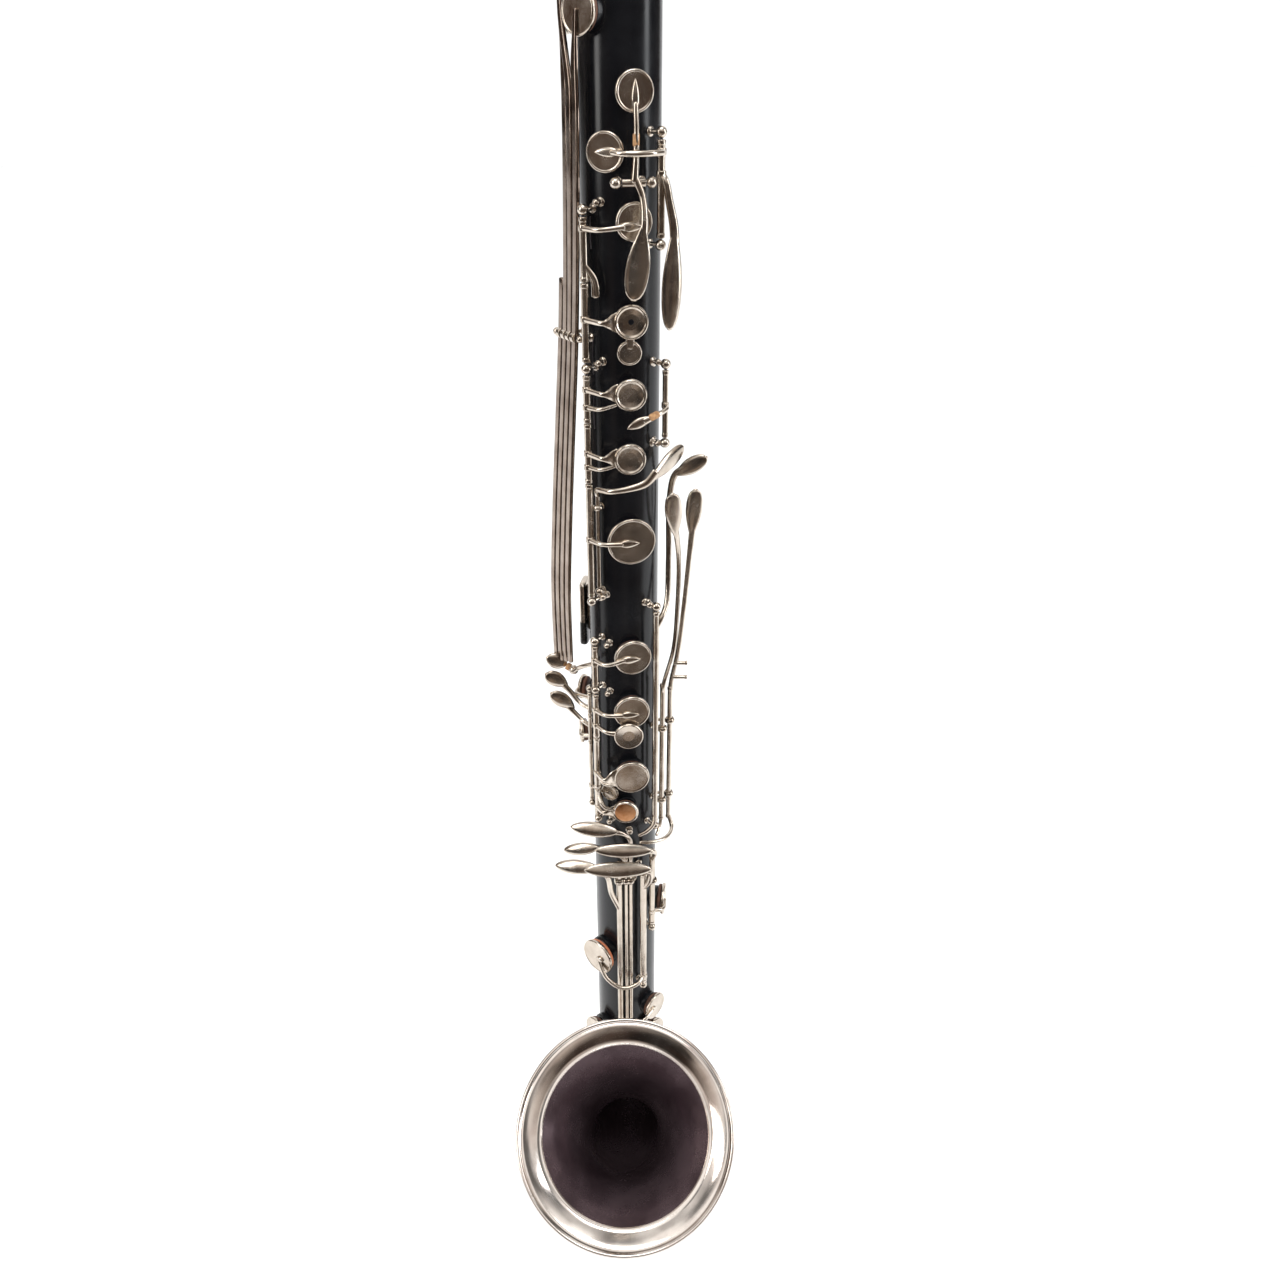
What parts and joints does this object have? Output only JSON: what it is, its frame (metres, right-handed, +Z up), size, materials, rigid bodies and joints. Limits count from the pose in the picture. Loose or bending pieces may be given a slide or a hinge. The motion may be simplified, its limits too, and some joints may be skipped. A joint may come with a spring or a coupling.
{
  "type": "alto clarinet",
  "caption": "Alto clarinet with a black body, nickel-plated keywork on hinge tubes, a bent metal neck with mouthpiece and a flared bell turned up to the front.",
  "frame": {"origin": "centre of the strap ring eye on the back of the body", "axes": "+Z up along the body towards the mouthpiece, -Y to the front where the finger keys are and the bell faces, +X to the right seen from the front"},
  "size_m": [0.1176, 0.2552, 0.7764],
  "materials": {
    "black_body": "satin black moulded body",
    "black_rubber": "polished black",
    "key_metal": "nickel plate, slightly warm and tarnished",
    "bell_metal": "nickel plate, dull and darker inside the bell",
    "pad": "tan skin pad",
    "cork": "greased cork",
    "cane": "bare cane"
  },
  "bodies": {
    "instrument": {"thumb_rest": "key_metal", "strap_ring": "key_metal", "body": "black_body", "bell_bow_rear": "bell_metal", "bell_bow": "bell_metal", "bell": "bell_metal", "neck": "bell_metal", "neck_cork": "cork", "mouthpiece": "black_rubber", "reed": "cane", "ligature": "key_metal"},
    "throat_a_key": {"throat_a_key": "key_metal", "throat_a_key_pad": "pad"},
    "throat_g_sharp_key": {"throat_g_sharp_key": "key_metal", "throat_g_sharp_key_pad": "pad"},
    "left_vent_key": {"left_vent_key": "key_metal", "left_vent_key_pad": "pad"},
    "left_first_finger_key": {"left_first_finger_key": "key_metal", "left_first_finger_key_pad": "pad"},
    "left_second_finger_key": {"left_second_finger_key": "key_metal", "left_second_finger_key_pad": "pad"},
    "left_third_finger_key": {"left_third_finger_key": "key_metal", "left_third_finger_key_pad": "pad"},
    "c_sharp_cup_key": {"c_sharp_cup_key": "key_metal", "c_sharp_cup_key_pad": "pad"},
    "c_sharp_lever": {"c_sharp_lever": "key_metal"},
    "sliver_key": {"sliver_key": "key_metal"},
    "little_finger_lever_1": {"little_finger_lever_1": "key_metal"},
    "little_finger_lever_2": {"little_finger_lever_2": "key_metal"},
    "little_finger_lever_3": {"little_finger_lever_3": "key_metal"},
    "side_lever_1": {"side_lever_1": "key_metal"},
    "side_lever_2": {"side_lever_2": "key_metal"},
    "side_lever_3": {"side_lever_3": "key_metal"},
    "side_lever_4": {"side_lever_4": "key_metal", "side_lever_4_pad": "pad"},
    "right_trill_key": {"right_trill_key": "key_metal", "right_trill_key_pad": "pad"},
    "side_key_upper": {"side_key_upper": "key_metal", "side_key_upper_pad": "pad"},
    "side_key_lower": {"side_key_lower": "key_metal", "side_key_lower_pad": "pad"},
    "right_first_finger_key": {"right_first_finger_key": "key_metal", "right_first_finger_key_pad": "pad"},
    "right_second_finger_key": {"right_second_finger_key": "key_metal", "right_second_finger_key_pad": "pad"},
    "right_third_finger_key": {"right_third_finger_key": "key_metal", "right_third_finger_key_pad": "pad"},
    "right_bridge_key": {"right_bridge_key": "key_metal"},
    "low_key_1": {"low_key_1": "key_metal", "low_key_1_pad": "pad"},
    "low_key_2": {"low_key_2": "key_metal", "low_key_2_pad": "pad"},
    "low_key_3": {"low_key_3": "key_metal", "low_key_3_pad": "pad"},
    "low_key_4": {"low_key_4": "key_metal", "low_key_4_pad": "pad"},
    "low_key_5": {"low_key_5": "key_metal", "low_key_5_pad": "pad"},
    "thumb_key": {"thumb_key": "key_metal"},
    "register_key": {"register_key": "key_metal"}
  },
  "joints": [
    {"name": "throat_a_key_hinge", "type": "hinge", "parent": "instrument", "child": "throat_a_key", "pos_m": [0.00554, -0.04673, 0.161], "axis": [0.9703, 0.2419, 0], "range_deg": [0, 6], "stiffness_Nm_per_rad": 0.04, "springref_deg": -11.46},
    {"name": "throat_g_sharp_key_hinge", "type": "hinge", "parent": "instrument", "child": "throat_g_sharp_key", "pos_m": [0.01619, -0.04013, 0.15785], "axis": [0, 0, 1], "range_deg": [0, 8], "stiffness_Nm_per_rad": 0.04, "springref_deg": -11.46},
    {"name": "left_vent_key_hinge", "type": "hinge", "parent": "instrument", "child": "left_vent_key", "pos_m": [-0.01446, -0.04174, 0.13585], "axis": [0, 0, 1], "range_deg": [-7, 0], "stiffness_Nm_per_rad": 0.04, "springref_deg": 11.46},
    {"name": "left_first_finger_key_hinge", "type": "hinge", "parent": "instrument", "child": "left_first_finger_key", "pos_m": [-0.01446, -0.04174, 0.10705], "axis": [0, 0, 1], "range_deg": [0, 5.9], "stiffness_Nm_per_rad": 0.04, "springref_deg": -11.46},
    {"name": "left_second_finger_key_hinge", "type": "hinge", "parent": "instrument", "child": "left_second_finger_key", "pos_m": [-0.01446, -0.04174, 0.07545], "axis": [0, 0, 1], "range_deg": [0, 5.9], "stiffness_Nm_per_rad": 0.04, "springref_deg": -11.46},
    {"name": "left_third_finger_key_hinge", "type": "hinge", "parent": "instrument", "child": "left_third_finger_key", "pos_m": [-0.01446, -0.04174, 0.05145], "axis": [0, 0, 1], "range_deg": [0, 5.9], "stiffness_Nm_per_rad": 0.04, "springref_deg": -11.46},
    {"name": "c_sharp_cup_key_hinge", "type": "hinge", "parent": "instrument", "child": "c_sharp_cup_key", "pos_m": [-0.01446, -0.04174, 0.00995], "axis": [0, 0, 1], "range_deg": [-6, 0], "stiffness_Nm_per_rad": 0.04, "springref_deg": 11.46},
    {"name": "c_sharp_lever_hinge", "type": "hinge", "parent": "instrument", "child": "c_sharp_lever", "pos_m": [-0.01085, -0.04058, 0.0105], "axis": [0, 0, 1], "range_deg": [0, 3], "stiffness_Nm_per_rad": 0.04, "springref_deg": -11.46},
    {"name": "sliver_key_hinge", "type": "hinge", "parent": "instrument", "child": "sliver_key", "pos_m": [0.01887, -0.03675, 0.07195], "axis": [0, 0, 1], "range_deg": [-5, 0], "stiffness_Nm_per_rad": 0.04, "springref_deg": 11.46},
    {"name": "little_finger_lever_1_hinge", "type": "hinge", "parent": "instrument", "child": "little_finger_lever_1", "pos_m": [0.01563, -0.04068, -0.0876], "axis": [0, 0, 1], "range_deg": [0, 6], "stiffness_Nm_per_rad": 0.04, "springref_deg": -11.46},
    {"name": "little_finger_lever_2_hinge", "type": "hinge", "parent": "instrument", "child": "little_finger_lever_2", "pos_m": [0.01914, -0.03632, -0.1095], "axis": [0, 0, 1], "range_deg": [0, 6], "stiffness_Nm_per_rad": 0.04, "springref_deg": -11.46},
    {"name": "little_finger_lever_3_hinge", "type": "hinge", "parent": "instrument", "child": "little_finger_lever_3", "pos_m": [0.02318, -0.02551, -0.117], "axis": [0, 0, 1], "range_deg": [0, 5], "stiffness_Nm_per_rad": 0.04, "springref_deg": -11.46},
    {"name": "side_lever_1_hinge", "type": "hinge", "parent": "instrument", "child": "side_lever_1", "pos_m": [-0.0223, -0.03145, 0.1], "axis": [0.5547, -0.8321, 0], "range_deg": [0, 0.9], "stiffness_Nm_per_rad": 0.08, "springref_deg": -11.46},
    {"name": "side_lever_2_hinge", "type": "hinge", "parent": "instrument", "child": "side_lever_2", "pos_m": [-0.0223, -0.03145, 0.1], "axis": [0.5547, -0.8321, 0], "range_deg": [0, 1.2], "stiffness_Nm_per_rad": 0.08, "springref_deg": -11.46},
    {"name": "side_lever_3_hinge", "type": "hinge", "parent": "instrument", "child": "side_lever_3", "pos_m": [-0.0223, -0.03145, 0.1], "axis": [0.5547, -0.8321, 0], "range_deg": [0, 1.2], "stiffness_Nm_per_rad": 0.08, "springref_deg": -11.46},
    {"name": "side_lever_4_hinge", "type": "hinge", "parent": "instrument", "child": "side_lever_4", "pos_m": [-0.0223, -0.03145, 0.1], "axis": [0.5547, -0.8321, 0], "range_deg": [0, 1.2], "stiffness_Nm_per_rad": 0.08, "springref_deg": -11.46},
    {"name": "right_trill_key_hinge", "type": "hinge", "parent": "instrument", "child": "right_trill_key", "pos_m": [-0.01354, -0.04247, -0.0543], "axis": [0, 0, 1], "range_deg": [-9, 0], "stiffness_Nm_per_rad": 0.04, "springref_deg": 11.46},
    {"name": "side_key_upper_hinge", "type": "hinge", "parent": "instrument", "child": "side_key_upper", "pos_m": [-0.01696, -0.0351, -0.0799], "axis": [0, 0, 1], "range_deg": [-4.9, 0], "stiffness_Nm_per_rad": 0.04, "springref_deg": 11.46},
    {"name": "side_key_lower_hinge", "type": "hinge", "parent": "instrument", "child": "side_key_lower", "pos_m": [-0.01696, -0.0351, -0.09425], "axis": [0, 0, 1], "range_deg": [-4.9, 0], "stiffness_Nm_per_rad": 0.04, "springref_deg": 11.46},
    {"name": "right_first_finger_key_hinge", "type": "hinge", "parent": "instrument", "child": "right_first_finger_key", "pos_m": [-0.01354, -0.04247, -0.0826], "axis": [0, 0, 1], "range_deg": [0, 3.9], "stiffness_Nm_per_rad": 0.04, "springref_deg": -11.46},
    {"name": "right_second_finger_key_hinge", "type": "hinge", "parent": "instrument", "child": "right_second_finger_key", "pos_m": [-0.01354, -0.04247, -0.11065], "axis": [0, 0, 1], "range_deg": [0, 4.9], "stiffness_Nm_per_rad": 0.04, "springref_deg": -11.46},
    {"name": "right_third_finger_key_hinge", "type": "hinge", "parent": "instrument", "child": "right_third_finger_key", "pos_m": [-0.01354, -0.04247, -0.13465], "axis": [0, 0, 1], "range_deg": [0, 5.9], "stiffness_Nm_per_rad": 0.04, "springref_deg": -11.46},
    {"name": "right_bridge_key_hinge", "type": "hinge", "parent": "instrument", "child": "right_bridge_key", "pos_m": [-0.01696, -0.0351, -0.1206], "axis": [0, 0, 1], "range_deg": [-3, 0], "stiffness_Nm_per_rad": 0.04, "springref_deg": 11.46},
    {"name": "low_key_1_hinge", "type": "hinge", "parent": "instrument", "child": "low_key_1", "pos_m": [0.00305, -0.04679, -0.2277], "axis": [0, 0, 1], "range_deg": [-6, 0], "stiffness_Nm_per_rad": 0.04, "springref_deg": 11.46},
    {"name": "low_key_2_hinge", "type": "hinge", "parent": "instrument", "child": "low_key_2", "pos_m": [0.00059, -0.04699, -0.2397], "axis": [0, 0, 1], "range_deg": [-6, 0], "stiffness_Nm_per_rad": 0.04, "springref_deg": 11.46},
    {"name": "low_key_3_hinge", "type": "hinge", "parent": "instrument", "child": "low_key_3", "pos_m": [0.01452, -0.04168, -0.1929], "axis": [0, 0, 1], "range_deg": [-5, 0], "stiffness_Nm_per_rad": 0.04, "springref_deg": 11.46},
    {"name": "low_key_4_hinge", "type": "hinge", "parent": "instrument", "child": "low_key_4", "pos_m": [-0.00301, -0.0468, -0.2413], "axis": [0, 0, 1], "range_deg": [-5.9, 0], "stiffness_Nm_per_rad": 0.04, "springref_deg": 11.46},
    {"name": "low_key_5_hinge", "type": "hinge", "parent": "instrument", "child": "low_key_5", "pos_m": [0.00976, -0.04477, -0.2199], "axis": [0, 0, 1], "range_deg": [-4.9, 0], "stiffness_Nm_per_rad": 0.04, "springref_deg": 11.46},
    {"name": "thumb_key_hinge", "type": "hinge", "parent": "instrument", "child": "thumb_key", "pos_m": [0.01258, -0.00585, 0.1025], "axis": [0, 0, 1], "range_deg": [0, 5.9], "stiffness_Nm_per_rad": 0.04, "springref_deg": -11.46},
    {"name": "register_key_hinge", "type": "hinge", "parent": "instrument", "child": "register_key", "pos_m": [0, -0.0041, 0.156], "axis": [-1, 0, 0], "range_deg": [0, 6], "stiffness_Nm_per_rad": 0.04, "springref_deg": -11.46}
  ],
  "couplings": [
    {"joint": "c_sharp_cup_key_hinge", "follows": "c_sharp_lever_hinge", "ratio": -2},
    {"joint": "right_trill_key_hinge", "follows": "side_lever_1_hinge", "ratio": -9.4},
    {"joint": "right_bridge_key_hinge", "follows": "right_second_finger_key_hinge", "ratio": -0.6},
    {"joint": "low_key_4_hinge", "follows": "little_finger_lever_1_hinge", "ratio": -0.98},
    {"joint": "low_key_2_hinge", "follows": "little_finger_lever_2_hinge", "ratio": -1},
    {"joint": "low_key_1_hinge", "follows": "little_finger_lever_3_hinge", "ratio": -1.2}
  ]
}
